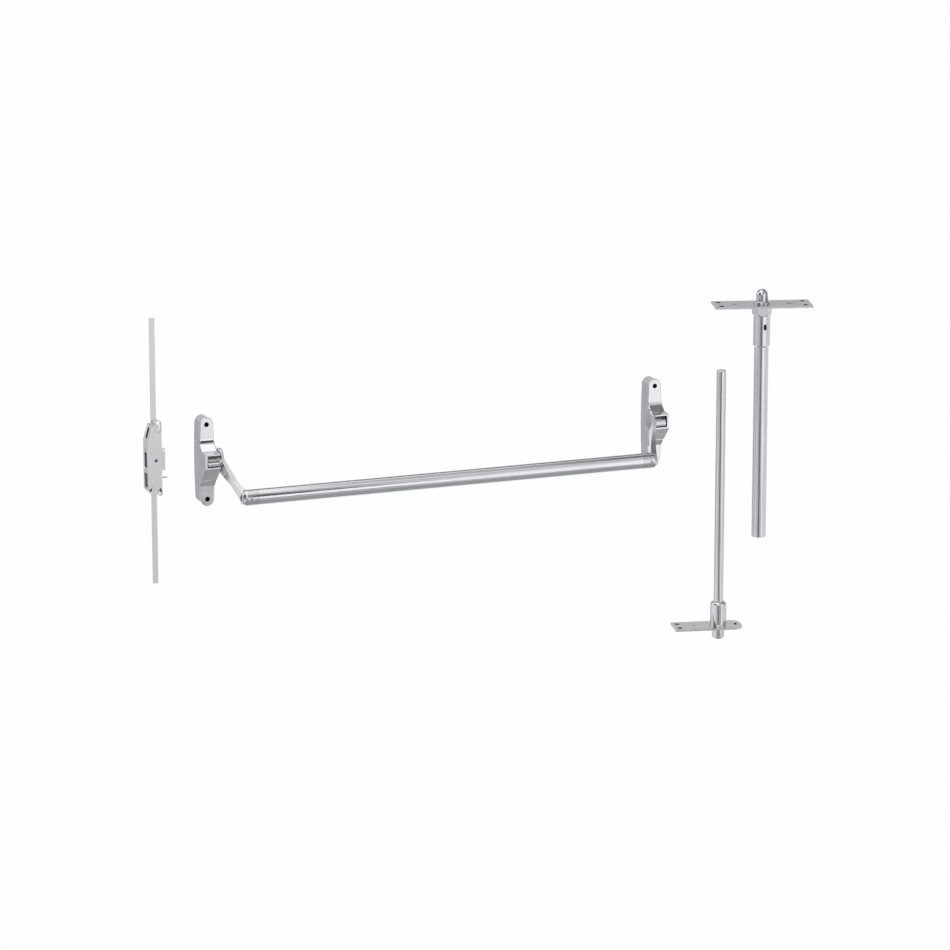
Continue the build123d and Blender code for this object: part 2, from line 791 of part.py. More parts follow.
swing = math.radians(lock_half_swing)
crank_places = [
    (lock_crank * math.cos(swing), lock_crank * math.sin(swing)),
    (-lock_crank * math.cos(swing), -lock_crank * math.sin(swing)),
]
with BuildPart() as lock_hub:
    with BuildSketch(facing(lock_frame, lock_hub_half_thickness)):
        Circle(lock_journal_radius + 1)
        with Locations(*crank_places):
            Circle(lock_hub_lobe)
        make_hull()
    extrude(amount=2 * lock_hub_half_thickness)
    with BuildSketch(facing(lock_frame, lock_half_depth)):
        Circle(lock_journal_radius)
    extrude(amount=2 * lock_half_depth)
    pin_reach = lock_hub_half_thickness + slide_gap + slide_thickness
    with BuildSketch(facing(lock_frame)):
        with Locations(crank_places[0]):
            Circle(lock_crank_pin)
    extrude(amount=pin_reach)
    with BuildSketch(facing(lock_frame)):
        with Locations(crank_places[1]):
            Circle(lock_crank_pin)
    extrude(amount=-pin_reach)
    with BuildSketch(facing(lock_frame, lock_half_depth)):
        Circle(lock_hub_bore)
    extrude(amount=2 * lock_half_depth, mode=Mode.SUBTRACT)
keep(lock_hub, "lock_hub")

lock_spring = coil(
    (lock_place[0], lock_place[1] - lock_half_depth + lock_sheet + free_gap, lock_place[2]),
    (0, 1, 0),
    lock_journal_radius + free_gap + lock_spring_wire + 0.2,
    lock_spring_wire,
    lock_half_depth - lock_sheet - pin_reach - 2 * free_gap,
    lock_spring_turns,
)
keep(lock_spring, "lock_spring")


def lock_slide(way):
    """The plate between the hub's crank pin and a rod: way is 1 for the upper and -1 for the lower."""
    pin_up = way * crank_places[0][1]
    near = lock_hub_half_thickness + slide_gap
    start = -near if way > 0 else near + slide_thickness
    left_edge = rod_across - rod_width / 2
    right_edge = rod_across + rod_width / 2
    foot_end = pin_up - way * (lock_crank_pin + slide_gap + slide_fork_wall)
    shoulder = slide_bar_start + 5
    with BuildPart() as slide:
        with BuildSketch(facing(lock_frame, start)):
            with BuildLine():
                if way > 0:
                    Polyline(
                        (left_edge, slide_bar_end),
                        (right_edge, slide_bar_end),
                        (right_edge, shoulder),
                        (slide_foot_outer, shoulder),
                        (slide_foot_outer, foot_end),
                        (slide_foot_inner, foot_end),
                        (slide_foot_inner, slide_bar_start),
                        (left_edge, slide_bar_start),
                        close=True,
                    )
                else:
                    Polyline(
                        (right_edge, -slide_bar_end),
                        (right_edge, -slide_bar_start),
                        (-slide_foot_inner, -slide_bar_start),
                        (-slide_foot_inner, foot_end),
                        (-slide_foot_outer, foot_end),
                        (-slide_foot_outer, -shoulder),
                        (left_edge, -shoulder),
                        (left_edge, -slide_bar_end),
                        close=True,
                    )
            make_face()
            with Locations((way * slide_foot_inner, pin_up)):
                reach = 2 * (lock_crank + lock_crank_pin + slide_gap - slide_foot_inner)
                Rectangle(reach, 2 * (lock_crank_pin + slide_gap), mode=Mode.SUBTRACT)
            with Locations(*[(rod_across, way * place) for place in rivet_places]):
                Circle(rivet_radius, mode=Mode.SUBTRACT)
        extrude(amount=slide_thickness)
    return slide


def flat_rod(way, end):
    """A flat bar riveted behind its slide."""
    near = lock_hub_half_thickness + slide_gap
    start = -near + rod_thickness if way > 0 else near
    low, high = sorted((way * rod_inner_end, end))
    with BuildPart() as rod:
        with BuildSketch(facing(lock_frame, start)):
            with Locations((rod_across, (low + high) / 2)):
                Rectangle(rod_width, high - low)
            with Locations(*[(rod_across, way * place) for place in rivet_places]):
                Circle(rivet_radius, mode=Mode.SUBTRACT)
        extrude(amount=rod_thickness)
    return rod


def rod_rivets(way):
    """Two rivets that hold a slide and its rod together."""
    near = lock_hub_half_thickness + slide_gap
    front = -near - slide_thickness if way > 0 else near - rod_thickness
    grip = slide_thickness + rod_thickness
    places = [(rod_across, way * place) for place in rivet_places]
    with BuildPart() as rivets:
        with BuildSketch(facing(lock_frame, front + grip)):
            with Locations(*places):
                Circle(rivet_radius)
        extrude(amount=grip)
        for depth in (front, front + grip + rivet_head_height):
            with BuildSketch(facing(lock_frame, depth)):
                with Locations(*places):
                    Circle(rivet_head_radius)
            extrude(amount=rivet_head_height)
    return rivets


for name, way, end in (("upper", 1, upper_rod_end), ("lower", -1, lower_rod_end)):
    keep(lock_slide(way), f"{name}_slide")
    keep(flat_rod(way, end), f"{name}_rod")
    keep(rod_rivets(way), f"{name}_rod_rivets")

with BuildPart() as side_bracket:
    with BuildSketch(lock_frame.offset(tab_bottom)):
        with BuildLine():
            Polyline(
                (lock_right, -tab_half_seat),
                (lock_right + lock_sheet, -tab_half_seat),
                (lock_right + lock_sheet, 0),
                (lock_right + tab_reach, 0),
                (lock_right + tab_reach, lock_sheet),
                (lock_right, lock_sheet),
                close=True,
            )
        make_face()
    extrude(amount=tab_top - tab_bottom)
    with BuildSketch(facing(lock_frame, 2 * lock_sheet)):
        with Locations((lock_right + tab_reach - tab_hole_inset, tab_top - tab_hole_drop)):
            Circle(tab_hole_radius)
    extrude(amount=3 * lock_sheet, mode=Mode.SUBTRACT)
keep(side_bracket, "side_bracket")

with BuildPart() as thumb_pin:
    with BuildSketch(across(lock_frame, lock_right - lock_sheet)):
        with Locations((0, thumb_pin_up)):
            Circle(thumb_pin_radius)
    extrude(amount=thumb_pin_end - lock_right + lock_sheet)
    with BuildSketch(across(lock_frame, lock_right - 2 * lock_sheet)):
        with Locations((0, thumb_pin_up)):
            Circle(thumb_pin_radius + 1)
    extrude(amount=lock_sheet)
keep(thumb_pin, "thumb_pin")

# Top bolt set
top_axis = Axis(top_frame.origin, top_frame.z_dir)
top_front = facing(top_frame)

with BuildPart() as top_guide_plate:
    with BuildSketch(top_frame.offset(-plate_thickness)):
        RectangleRounded(top_plate_length, top_plate_width, top_plate_corner)
        Circle(bushing_radius, mode=Mode.SUBTRACT)
        for place, length in zip((-top_slot_across, top_slot_across), top_slot_lengths):
            with Locations((place, 0)):
                SlotOverall(length, plate_slot_width, mode=Mode.SUBTRACT)
    extrude(amount=plate_thickness)
    with Locations(top_frame):
        with GridLocations(2 * top_screw_across, 2 * top_screw_deep, 2, 2):
            CounterSinkHole(plate_screw_radius, plate_sink_radius)
keep(top_guide_plate, "top_guide_plate")

top_bushing = turned_piece(top_front, top_axis, [
    (top_bolt_radius + running_fit, bushing_end),
    (bushing_radius, bushing_end),
    (bushing_radius, 0),
    (rim_radius, 0),
    (rim_radius, rim_height - 1.2),
    (rim_radius - 1.2, rim_height),
    (top_bolt_radius + running_fit, rim_height),
])
keep(top_bushing, "top_bushing")

with BuildPart() as top_locknut:
    with BuildSketch(top_frame.offset(locknut_bottom)):
        RegularPolygon(locknut_flats / 2, 6, major_radius=False)
    extrude(amount=locknut_top - locknut_bottom)
    with BuildSketch(top_front):
        with BuildLine():
            Polyline(
                (0, locknut_bottom),
                (sleeve_radius, locknut_bottom),
                (sleeve_radius + 3, locknut_bottom + 5),
                (sleeve_radius + 3, locknut_top - 1),
                (sleeve_radius + 1.5, locknut_top),
                (0, locknut_top),
                close=True,
            )
        make_face()
    revolve(axis=top_axis, mode=Mode.INTERSECT)
    with BuildSketch(top_frame.offset(locknut_bottom)):
        Circle(bushing_radius)
    extrude(amount=locknut_top - locknut_bottom, mode=Mode.SUBTRACT)
keep(top_locknut, "top_locknut")

sleeve_top = locknut_bottom - seat_gap
web_bottom = sleeve_web_top - sleeve_web_thickness
with BuildPart() as top_sleeve:
    with BuildSketch(top_front):
        with BuildLine():
            Polyline(
                (bushing_radius, sleeve_top),
                (sleeve_radius, sleeve_top),
                (sleeve_radius, sleeve_end + 3),
                (sleeve_radius - sleeve_taper, sleeve_end),
                (tube_radius + free_gap, sleeve_end),
                (tube_radius + free_gap, web_bottom),
                (top_neck_radius + running_fit, web_bottom),
                (top_neck_radius + running_fit, sleeve_web_top),
                (bushing_radius, sleeve_web_top),
                close=True,
            )
        make_face()
    revolve(axis=top_axis)
    hole_turn = math.radians(sight_hole_turn)
    hole_way = top_frame.x_dir * math.sin(hole_turn) - top_frame.y_dir * math.cos(hole_turn)
    hole_middle = top_frame.origin + top_frame.z_dir * sight_hole_up
    with BuildSketch(Plane(origin=hole_middle, x_dir=(0, 0, 1), z_dir=hole_way)):
        SlotOverall(sight_hole_height, sight_hole_width)
    extrude(amount=sleeve_radius + 1, mode=Mode.SUBTRACT)
keep(top_sleeve, "top_sleeve")

tube_top = web_bottom - 2 * free_gap
plug_bottom = tube_top - tube_plug_length
tube_plug_radius = tube_radius - tube_wall + tube_plug_step
top_bolt_end = plug_bottom + free_gap
with BuildPart() as top_bolt:
    with BuildSketch(top_front):
        with BuildLine():
            crown = (0, top_bolt_rise)
            edge = (top_bolt_radius, top_bolt_rise - top_bolt_nose - 3)
            ThreePointArc(crown, (top_bolt_radius * 0.72, top_bolt_rise - top_bolt_nose * 0.42), edge)
            Polyline(
                edge,
                (top_bolt_radius, top_bolt_shoulder),
                (top_neck_radius, top_bolt_shoulder),
                (top_neck_radius, top_bolt_end),
                (0, top_bolt_end),
                crown,
            )
        make_face()
    revolve(axis=top_axis)
    with BuildSketch(facing(top_frame, tube_radius)):
        with Locations((0, top_pin_up)):
            Circle(top_pin_radius)
    extrude(amount=2 * tube_radius, mode=Mode.SUBTRACT)
keep(top_bolt, "top_bolt")

with BuildPart() as top_rod_tube:
    with BuildSketch(top_frame.offset(tube_end)):
        Circle(tube_radius)
        Circle(tube_radius - tube_wall, mode=Mode.SUBTRACT)
    extrude(amount=tube_top - tube_end)
    chamfer(top_rod_tube.faces().sort_by(Axis.Z)[0].edges(), 0.4)
    # counterbore that the plug stands in
    with BuildSketch(top_frame.offset(plug_bottom)):
        Circle(tube_plug_radius)
    extrude(amount=tube_plug_length, mode=Mode.SUBTRACT)
    with BuildSketch(facing(top_frame, tube_radius)):
        with Locations((0, top_pin_up)):
            Circle(top_pin_radius)
    extrude(amount=2 * tube_radius, mode=Mode.SUBTRACT)
keep(top_rod_tube, "top_rod_tube")

with BuildPart() as top_tube_plug:
    with BuildSketch(top_frame.offset(plug_bottom)):
        Circle(tube_plug_radius)
        Circle(top_neck_radius, mode=Mode.SUBTRACT)
    extrude(amount=tube_plug_length)
    with BuildSketch(facing(top_frame, tube_radius)):
        with Locations((0, top_pin_up)):
            Circle(top_pin_radius)
    extrude(amount=2 * tube_radius, mode=Mode.SUBTRACT)
keep(top_tube_plug, "top_tube_plug")

with BuildPart() as top_cross_pin:
    pin_half = math.sqrt(tube_radius**2 - top_pin_radius**2) - seat_gap
    with BuildSketch(facing(top_frame, pin_half)):
        with Locations((0, top_pin_up)):
            Circle(top_pin_radius)
    extrude(amount=2 * pin_half)
keep(top_cross_pin, "top_cross_pin")

top_spring = coil(
    (top_place[0], top_place[1], top_place[2] + sleeve_web_top + free_gap),
    (0, 0, 1),
    top_neck_radius + free_gap + top_spring_wire + 0.2,
    top_spring_wire,
    top_bolt_shoulder - sleeve_web_top - 2 * free_gap,
    top_spring_turns,
)
keep(top_spring, "top_spring")

# Bottom bolt set
bottom_axis = Axis(bottom_frame.origin, bottom_frame.z_dir)
bottom_front = facing(bottom_frame)
cup_bore = cup_radius - cup_wall

with BuildPart() as bottom_guide_plate:
    with BuildSketch(bottom_frame.offset(-plate_thickness)):
        middle = (bottom_plate_left + bottom_plate_right) / 2
        with Locations((middle, 0)):
            Rectangle(bottom_plate_right - bottom_plate_left, bottom_plate_width)
    extrude(amount=plate_thickness)
    upright = bottom_guide_plate.edges().filter_by(Axis.Z)
    fillet(upright.sort_by(Axis((0, 0, 0), bottom_way))[-2:], bottom_plate_corner)
    upright = bottom_guide_plate.edges().filter_by(Axis.Z)
    fillet(upright.sort_by(Axis((0, 0, 0), bottom_way))[:2], top_plate_corner)
    with BuildSketch(bottom_frame.offset(-plate_thickness)):
        Circle(bottom_bolt_radius + running_fit)
        with Locations((bottom_mark_across, 0)):
            Circle(bottom_mark_radius)
        with Locations((bottom_slot_across, 0)):
            SlotOverall(bottom_slot_length, plate_slot_width, rotation=90)
    extrude(amount=plate_thickness, mode=Mode.SUBTRACT)
    with Locations(bottom_frame):
        with Locations((bottom_screw_across, bottom_screw_deep), (bottom_screw_across, -bottom_screw_deep)):
            CounterSinkHole(plate_screw_radius, plate_sink_radius)
keep(bottom_guide_plate, "bottom_guide_plate")

with BuildPart() as bottom_sleeve:
    with BuildSketch(bottom_front):
        with BuildLine():
            Polyline(
                (cup_bore, 0),
                (cup_radius, 0),
                (cup_radius, cup_height - cup_dome),
            )
            RadiusArc((cup_radius, cup_height - cup_dome), (cup_radius - cup_dome, cup_height), -cup_dome)
            Polyline(
                (cup_radius - cup_dome, cup_height),
                (bottom_rod_radius + free_gap, cup_height),
                (bottom_rod_radius + free_gap, cup_height - cup_roof),
                (cup_bore, cup_height - cup_roof),
                (cup_bore, 0),
            )
        make_face()
    revolve(axis=bottom_axis)
    with BuildSketch(bottom_front):
        with Locations((0, peep_up)):
            Circle(peep_radius)
    extrude(amount=cup_radius + 1, mode=Mode.SUBTRACT)
keep(bottom_sleeve, "bottom_sleeve")

bottom_bolt = turned_piece(bottom_front, bottom_axis, [
    (0, bottom_bolt_tip),
    (bottom_bolt_radius - bottom_bolt_nose, bottom_bolt_tip),
    (bottom_bolt_radius, bottom_bolt_tip + bottom_bolt_nose),
    (bottom_bolt_radius, free_gap),
    (cup_bore - running_fit, free_gap),
    (cup_bore - running_fit, bottom_bolt_collar),
    (bottom_spigot_radius, bottom_bolt_collar),
    (bottom_spigot_radius, bottom_bolt_collar - bottom_spigot_length),
    (0, bottom_bolt_collar - bottom_spigot_length),
])
keep(bottom_bolt, "bottom_bolt")

with BuildPart() as bottom_rod:
    with BuildSketch(bottom_front):
        with BuildLine():
            Polyline(
                (0, bottom_bolt_collar - bottom_spigot_length),
                (bottom_spigot_radius, bottom_bolt_collar - bottom_spigot_length),
                (bottom_spigot_radius, bottom_bolt_collar),
                (bottom_rod_radius, bottom_bolt_collar),
                (bottom_rod_radius, bottom_rod_end - 0.8),
                (bottom_rod_radius - 0.8, bottom_rod_end),
                (0, bottom_rod_end),
                close=True,
            )
        make_face()
    revolve(axis=bottom_axis)
    with BuildSketch(facing(bottom_frame, bottom_rod_radius + 1)):
        with Locations((0, bottom_pin_up)):
            Circle(bottom_pin_radius)
    extrude(amount=2 * bottom_rod_radius + 2, mode=Mode.SUBTRACT)
keep(bottom_rod, "bottom_rod")

with BuildPart() as bottom_stop_pin:
    pin_half = math.sqrt(bottom_rod_radius**2 - bottom_pin_radius**2) - seat_gap
    with BuildSketch(facing(bottom_frame, pin_half)):
        with Locations((0, bottom_pin_up)):
            Circle(bottom_pin_radius)
    extrude(amount=2 * pin_half)
keep(bottom_stop_pin, "bottom_stop_pin")

bottom_spring = coil(
    (bottom_place[0], bottom_place[1], bottom_place[2] + bottom_bolt_collar + free_gap),
    (0, 0, 1),
    (bottom_rod_radius + cup_bore) / 2,
    bottom_spring_wire,
    cup_height - cup_roof - bottom_bolt_collar - 2 * free_gap,
    bottom_spring_turns,
)
keep(bottom_spring, "bottom_spring")
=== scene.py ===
# %% [markdown]
# # A vertical rod exit device, dressed for a close look
#
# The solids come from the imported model. This file gives them rounded edges, small details and plated
# finishes, and lights them.

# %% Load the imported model
import math
import json
import bpy
import bmesh
from mathutils import Matrix, Vector


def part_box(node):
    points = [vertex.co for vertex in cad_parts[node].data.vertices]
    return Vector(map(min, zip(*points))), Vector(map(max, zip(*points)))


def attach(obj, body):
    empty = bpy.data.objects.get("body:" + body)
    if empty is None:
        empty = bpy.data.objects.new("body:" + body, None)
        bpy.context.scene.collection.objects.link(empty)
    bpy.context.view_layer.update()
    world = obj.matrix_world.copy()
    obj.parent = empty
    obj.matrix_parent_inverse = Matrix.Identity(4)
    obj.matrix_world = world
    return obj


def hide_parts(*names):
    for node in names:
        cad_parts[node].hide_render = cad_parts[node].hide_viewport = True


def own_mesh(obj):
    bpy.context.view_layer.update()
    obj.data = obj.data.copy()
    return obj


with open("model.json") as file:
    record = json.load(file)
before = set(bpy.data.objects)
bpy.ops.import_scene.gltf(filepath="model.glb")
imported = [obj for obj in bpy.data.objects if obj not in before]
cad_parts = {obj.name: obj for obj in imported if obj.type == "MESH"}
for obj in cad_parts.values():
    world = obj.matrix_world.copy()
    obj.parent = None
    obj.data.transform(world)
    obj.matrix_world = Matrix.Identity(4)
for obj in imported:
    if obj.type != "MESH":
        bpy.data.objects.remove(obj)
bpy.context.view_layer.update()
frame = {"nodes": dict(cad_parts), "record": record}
nodes = frame["nodes"]

# %% [markdown]
# ## The camera
#
# The camera stands 7.5 m away, so the crossbar keeps its shape and the rods stay nearly upright.
# The target is the point that the middle of the picture shows.

# %% Place the camera
TARGET = Vector((0.4897, 0.0, -0.0719))
CAMERA_ELEVATION = math.radians(13.5)
CAMERA_YAW = math.radians(21.7)
CAMERA_DISTANCE = 7.5


def linked(name, data):
    """A new object in the scene, such as a camera or a piece with its mesh."""
    made = bpy.data.objects.new(name, data)
    bpy.context.scene.collection.objects.link(made)
    return made


level = math.cos(CAMERA_ELEVATION)
towards_camera = Vector((
    -math.sin(CAMERA_YAW) * level,
    -math.cos(CAMERA_YAW) * level,
    math.sin(CAMERA_ELEVATION),
))
camera_data = bpy.data.cameras.new("camera")
camera_data.lens = 166.27
camera_data.sensor_width = 36.0
camera_data.clip_start = 0.1
camera_data.clip_end = 60.0
camera = linked("camera", camera_data)
camera.location = TARGET + towards_camera * CAMERA_DISTANCE
camera.rotation_euler = (-towards_camera).to_track_quat("-Z", "Y").to_euler()
bpy.context.scene.camera = camera
print("camera at", [round(v, 3) for v in camera.location])

# %% [markdown]
# ## Maths on shader sockets
#
# Most of a finish is arithmetic: a mask times a strength plus a base value. The small class below
# wraps a socket, so that an ordinary Python expression adds the Math nodes for it. Every other node
# comes from one method, which sets the node's own settings first and its sockets after them.

# %% Wrap sockets and nodes
class Value:
    """A number that varies over a surface, as an output socket of a node."""

    def __init__(self, maker, socket):
        self.maker = maker
        self.socket = socket

    def _maths(self, operation, first, second):
        sockets = {0: first, 1: second}
        return self.maker.node("ShaderNodeMath", {"operation": operation}, sockets)

    def __add__(self, other):
        return self._maths("ADD", self, other)

    def __radd__(self, other):
        return self._maths("ADD", other, self)

    def __sub__(self, other):
        return self._maths("SUBTRACT", self, other)

    def __rsub__(self, other):
        return self._maths("SUBTRACT", other, self)

    def __mul__(self, other):
        return self._maths("MULTIPLY", self, other)

    def __rmul__(self, other):
        return self._maths("MULTIPLY", other, self)

    def __truediv__(self, other):
        return self._maths("DIVIDE", self, other)

    def __pow__(self, power):
        return self._maths("POWER", self, power)

    def larger(self, other):
        return self._maths("MAXIMUM", self, other)

    def below(self, limit):
        """1 where the value is less than limit, and 0 elsewhere."""
        return self._maths("LESS_THAN", self, limit)

    def between(self, low, high):
        """0 below low, 1 above high, and a smooth step from one to the other."""
        settings = {"interpolation_type": "SMOOTHSTEP"}
        return self.maker.node("ShaderNodeMapRange", settings, {0: self, 1: low, 2: high})


class Recipe:
    """A node tree that is written as calls: each call adds one node and gives back an output."""

    def __init__(self, tree):
        self.tree = tree

    def node(self, kind, settings, sockets, output=0):
        made = self.tree.nodes.new(kind)
        for key, value in settings.items():
            setattr(made, key, value)
        for key, value in sockets.items():
            socket = made.inputs[key]
            if isinstance(value, Value):
                self.tree.links.new(value.socket, socket)
            else:
                socket.default_value = value
        return Value(self, made.outputs[output])


class Surface(Recipe):
    """A new material with a Principled shader, and a tree to add nodes to."""

    def __init__(self, name):
        self.material = bpy.data.materials.new(name)
        self.material.use_nodes = True
        super().__init__(self.material.node_tree)
        self.shader = self.tree.nodes["Principled BSDF"]

    def show(self, mask, first, second):
        """Ends the tree with two shaders: first where mask is 0 and second where it is 1."""
        mixed = self.node("ShaderNodeMixShader", {}, {0: mask, 1: first, 2: second})
        self.tree.links.new(mixed.socket, self.tree.nodes["Material Output"].inputs["Surface"])


# %% Describe a metal finish
NOISE_ROUGHNESS = 0.55
# painted shade: the nearly black colour of every face that is marked as part of a hole
HOLE_PAINTED_SHADE = (0.035, 0.035, 0.038)
HOLE_DULLNESS = 0.35


class Finish(Surface):
    """A metal, and the noises that vary its colour, its roughness and its relief."""

    def __init__(self, name):
        super().__init__(name)
        self.shader.inputs["Metallic"].default_value = 1.0
        self.place = self.node("ShaderNodeTexCoord", {}, {}, "Object")

    def feed(self, name, value):
        self.tree.links.new(value.socket, self.shader.inputs[name])

    def noise(self, size, detail, stretch=(1, 1, 1)):
        """Noise from 0 to 1 in patches of about size metres, longer where stretch is below 1."""
        scale = [factor / size for factor in stretch]
        where = self.node("ShaderNodeMapping", {}, {"Vector": self.place, "Scale": scale}, "Vector")
        sockets = {"Vector": where, "Scale": 1.0, "Detail": detail, "Roughness": NOISE_ROUGHNESS}
        return self.node("ShaderNodeTexNoise", {}, sockets, "Fac")

    def blend(self, mask, first, second):
        """A colour that runs from first to second as mask goes from 0 to 1."""
        return self.node("ShaderNodeMix", {"data_type": "RGBA"}, {0: mask, 6: first, 7: second}, 2)

    def tint(self, mask, dark, light):
        return self.blend(mask, (*dark, 1), (*light, 1))

    def bored(self, colour, roughness):
        """Feeds both, with painted shade where a face is marked as part of a hole: a nearly black
        colour and more roughness.
        """
        bore = self.node("ShaderNodeAttribute", {"attribute_name": "bore"}, {}, "Fac")
        self.feed("Base Color", self.blend(bore, colour, (*HOLE_PAINTED_SHADE, 1)))
        self.feed("Roughness", roughness + HOLE_DULLNESS * bore)

    def relief(self, height, depth):
        """Feeds Normal from a height of 0 to 1, depth metres high."""
        self.feed("Normal", self.node("ShaderNodeBump", {}, {"Height": height, "Distance": depth}))


print("shader helpers ready")

# %% [markdown]
# ## Plated finishes
#
# The castings and tubes are chrome plated. Real plating over a casting isn't a perfect mirror: the
# polishing wheel leaves soft waves and fine hairlines, and handling leaves faint smears. So each
# finish has a nearly white metal, a low roughness that varies, and a very shallow relief. The two
# lever arms are a little duller than the cases, and a little greyer, as in the photograph; the greyer
# colour is painted shade.

# %% Polished castings, tubes and turned parts
CASTING_RELIEF = 0.00003
FINE_RELIEF = 0.00002


def polished_casting(name, dark, light, dull):
    """Cast and polished: the colour runs from dark to light, and dull is its least roughness."""
    finish = Finish(name)
    waves = finish.noise(size=0.009, detail=2.0)
    smears = finish.noise(size=0.035, detail=4.0)
    hairlines = finish.noise(size=0.0012, detail=2.0, stretch=(1, 1, 0.04))
    colour = finish.tint(smears.between(0.3, 0.75), dark, light)
    finish.bored(colour, dull + 0.07 * smears.between(0.35, 0.8) + 0.05 * hairlines)
    finish.relief(waves * 0.8 + hairlines * 0.05, CASTING_RELIEF)
    return finish.material


def polished_tube(name, along):
    """Drawn tube: hairlines run along it, with long faint streaks of the polishing belt."""
    def drawn(factor):
        return [factor if axis == along else 1.0 for axis in "XYZ"]

    finish = Finish(name)
    hairlines = finish.noise(size=0.0011, detail=2.0, stretch=drawn(0.012))
    streaks = finish.noise(size=0.006, detail=3.0, stretch=drawn(0.05))
    smears = finish.noise(size=0.05, detail=4.0)
    colour = finish.tint(streaks.between(0.3, 0.8), (0.76, 0.77, 0.785), (0.84, 0.84, 0.855))
    finish.feed("Base Color", colour)
    finish.feed("Roughness", 0.13 + 0.05 * smears.between(0.4, 0.8) + 0.05 * hairlines)
    finish.relief(hairlines * 0.3 + streaks * 0.7, FINE_RELIEF)
    return finish.material


def turned_steel():
    """Lathe-turned and plated: fine rings round the upright axis."""
    finish = Finish("turned_steel")
    rings = finish.noise(size=0.0009, detail=1.5, stretch=(0.02, 0.02, 1))
    smears = finish.noise(size=0.02, detail=3.0)
    colour = finish.tint(smears.between(0.3, 0.8), (0.66, 0.67, 0.69), (0.78, 0.78, 0.80))
    finish.feed("Base Color", colour)
    finish.feed("Roughness", 0.12 + 0.10 * smears.between(0.3, 0.8) + 0.06 * rings)
    finish.relief(rings, FINE_RELIEF)
    return finish.material


CASTING = polished_casting("polished_casting", (0.77, 0.775, 0.79), (0.83, 0.83, 0.845), 0.11)
# painted shade: the arms' finish is the casting's, with a darker colour
ARM_CASTING_PAINTED_SHADE = polished_casting("polished_arm", (0.67, 0.672, 0.682), (0.75, 0.752, 0.762), 0.15)
BAR_TUBE = polished_tube("polished_crossbar", "X")
UPRIGHT_TUBE = polished_tube("polished_upright", "Z")
TURNED = turned_steel()
print("plated finishes ready")

# %% [markdown]
# ## Sheet and plain steel
#
# The lock case and its rods are satin sheet steel: duller, with a grain that runs up and down. The
# guide plates are ground flat, and screws and pins are plain zinc-plated steel. Bushes are bronze,
# and springs are dark wire.

# %% Satin sheet, ground plates, zinc, bronze and spring wire
WIRE_RELIEF = 0.00001
EVEN = (1, 1, 1)


def brushed(name, size, stretch, dark, light, rough, depth=FINE_RELIEF):
    """Steel with a grain of about size metres, drawn out by stretch, over faint blotches."""
    finish = Finish(name)
    grain = finish.noise(size=size, detail=3.0, stretch=stretch)
    blotches = finish.noise(size=0.02, detail=3.0)
    shade = grain.between(0.25, 0.8) * 0.6 + blotches.between(0.3, 0.8) * 0.4
    finish.bored(finish.tint(shade, dark, light), rough + 0.12 * grain + 0.06 * blotches)
    finish.relief(grain, depth)
    return finish.material


SATIN = brushed("satin_sheet", 0.0016, (1, 1, 0.05), (0.84, 0.84, 0.85), (0.94, 0.94, 0.95), 0.34)
GROUND = brushed(
    "ground_plate", 0.0014, (0.05, 1, 1), (0.66, 0.66, 0.675), (0.78, 0.78, 0.79), 0.24)
ZINC = brushed("zinc_steel", 0.004, EVEN, (0.50, 0.51, 0.54), (0.68, 0.69, 0.71), 0.32)
BRONZE = brushed("bearing_bronze", 0.003, EVEN, (0.42, 0.29, 0.15), (0.62, 0.45, 0.25), 0.35)
WIRE = brushed(
    "spring_wire", 0.002, EVEN, (0.30, 0.30, 0.32), (0.48, 0.48, 0.50), 0.30, WIRE_RELIEF)
print("steel finishes ready")

# %% [markdown]
# ## Rounded edges
#
# The solids have sharp edges and flat facets. A real casting or pressing catches a thin line of
# light along each edge. A copy of a node's mesh is merged, its flat areas are joined again, and a
# Bevel modifier rounds what is still sharp. A Weighted Normal modifier then lets each broad face
# rule the shading of its own corners, so a long wall stays straight up to its rounded rim. The copy
# stands in for the node.

# %% Say what a finished piece stands for
record = frame["record"]
body_of = {
    name: body for body, names in record["behaviour"]["bodies"].items() for name in names
}
slot_of = {entry["node"]: entry["material_slot"] for entry in record["subparts"]}
DRESSED = {}


def settle(piece, node):
    """Tells the frame what a finished piece rides on and stands in for, and counts its faces."""
    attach(piece, body_of[node])
    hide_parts(node)
    DRESSED[node] = len(piece.data.polygons)


# %% Dress a node with rounded edges
MERGE_DISTANCE = 1e-6
FLAT_ANGLE = 0.6
SHARP_ANGLE = 32.0
CREASE_ANGLE = 40.0
ROUNDING_SEGMENTS = 3
BROAD_FACE_WEIGHT = 90


def evaluated_mesh(piece):
    """The mesh that a piece's modifiers make of it, which are then taken off."""
    graph = bpy.context.evaluated_depsgraph_get()
    result = bpy.data.meshes.new_from_object(piece.evaluated_get(graph))
    piece.modifiers.clear()
    return result


def mark_bores(mesh, inside):
    """Marks the faces that belong to a hole: inside says so of a face's middle and direction."""
    mark = mesh.attributes.new("bore", "FLOAT", "FACE")
    for polygon in mesh.polygons:
        mark.data[polygon.index].value = float(inside(polygon.center, polygon.normal))


